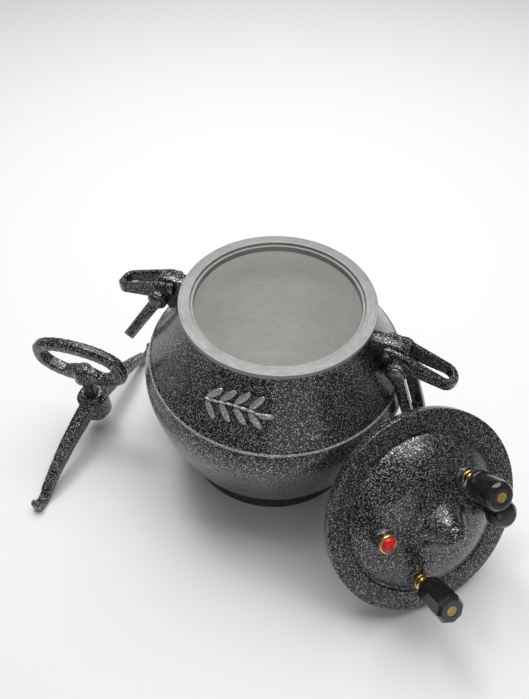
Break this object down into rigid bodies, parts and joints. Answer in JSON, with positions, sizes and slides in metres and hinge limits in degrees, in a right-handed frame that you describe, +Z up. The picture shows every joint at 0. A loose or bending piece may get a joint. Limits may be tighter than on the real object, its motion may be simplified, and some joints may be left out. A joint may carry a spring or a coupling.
{
  "type": "pressure canner",
  "caption": "Pot-bellied cast aluminium pressure cooker taken apart: open pot with loop handles and shackles, leaning domed lid with valves, and screw clamp beam.",
  "frame": {"origin": "centre of the pot's flat base", "axes": "+Z up along the pot's axis, +X through the right-hand loop handle, -Y towards the side with the raised ornament"},
  "size_m": [0.5623, 0.3584, 0.2386],
  "materials": {
    "cast_hammered": "hammered grey and silver paint outside, bare turned metal inside and on the rim",
    "bright_steel": "zinc plated",
    "dark_steel": "oiled, blackened",
    "brass": "turned, polished",
    "black_phenolic": "gloss black moulding",
    "gilt": "stamped gilt disc",
    "red_rubber": "satin",
    "white_rubber": "matt"
  },
  "bodies": {
    "pot": {"pot_body": "cast_hammered", "handle_left": "cast_hammered", "handle_right": "cast_hammered", "shackle_pin_left": "bright_steel", "shackle_pin_right": "bright_steel", "handle_rivet_left": "bright_steel", "handle_rivet_right": "bright_steel"},
    "shackle_left": {"shackle_left": "cast_hammered"},
    "shackle_right": {"shackle_right": "cast_hammered"},
    "lid": {"lid_shell": "cast_hammered", "lid_gasket": "white_rubber", "exhaust_stem": "brass", "exhaust_washer": "red_rubber", "exhaust_nut": "brass", "regulator_stem": "brass", "regulator_washer": "red_rubber", "regulator_nut": "brass", "release_stem": "brass", "release_washer": "red_rubber", "release_nut": "brass", "safety_bush": "brass", "safety_washer": "red_rubber", "safety_nut": "brass"},
    "exhaust_cap": {"exhaust_cap": "black_phenolic", "exhaust_badge": "gilt"},
    "regulator_cap": {"regulator_cap": "black_phenolic", "regulator_badge": "gilt"},
    "release_knob": {"release_knob": "black_phenolic"},
    "safety_plug": {"safety_plug": "red_rubber"},
    "clamp_beam": {"clamp_beam": "cast_hammered"},
    "screw_pad": {"screw_pad": "dark_steel"},
    "clamp_screw": {"clamp_screw": "dark_steel", "loop_handle": "cast_hammered", "loop_pin": "bright_steel"}
  },
  "joints": [
    {"name": "shackle_left_swing", "type": "hinge", "parent": "pot", "child": "shackle_left", "pos_m": [-0.131, 0, 0.204], "axis": [0, 1, 0], "range_deg": [-11, 155]},
    {"name": "shackle_right_swing", "type": "hinge", "parent": "pot", "child": "shackle_right", "pos_m": [0.131, 0, 0.204], "axis": [0, -1, 0], "range_deg": [-1.5, 18]},
    {"name": "lid_lift", "type": "slide", "parent": "pot", "child": "lid", "axis": [0.5802, -0.5782, 0.5736], "range_m": [0, 0.25]},
    {"name": "exhaust_cap_lift", "type": "slide", "parent": "lid", "child": "exhaust_cap", "axis": [0.5802, -0.5782, 0.5736], "range_m": [0, 0.008]},
    {"name": "regulator_cap_lift", "type": "slide", "parent": "lid", "child": "regulator_cap", "axis": [0.5802, -0.5782, 0.5736], "range_m": [0, 0.008]},
    {"name": "release_turn", "type": "hinge", "parent": "lid", "child": "release_knob", "pos_m": [0.26381, -0.06797, 0.10679], "axis": [0.5802, -0.5782, 0.5736], "range_deg": [0, 270]},
    {"name": "safety_plug_pop", "type": "slide", "parent": "lid", "child": "safety_plug", "axis": [0.5802, -0.5782, 0.5736], "range_m": [0, 0.004]},
    {"name": "clamp_lift", "type": "slide", "parent": "pot", "child": "clamp_beam", "axis": [0, 0, 1], "range_m": [0, 0.25]},
    {"name": "pad_travel", "type": "slide", "parent": "clamp_beam", "child": "screw_pad", "axis": [0, 0, -1], "range_m": [0, 0.015]},
    {"name": "screw_turn", "type": "hinge", "parent": "screw_pad", "child": "clamp_screw", "pos_m": [-0.2138, -0.076, 0.05], "axis": [0, 0, -1], "range_deg": [0, 2160]}
  ],
  "couplings": [
    {"joint": "pad_travel", "follows": "screw_turn", "m_per_rad": 0.00039788}
  ]
}
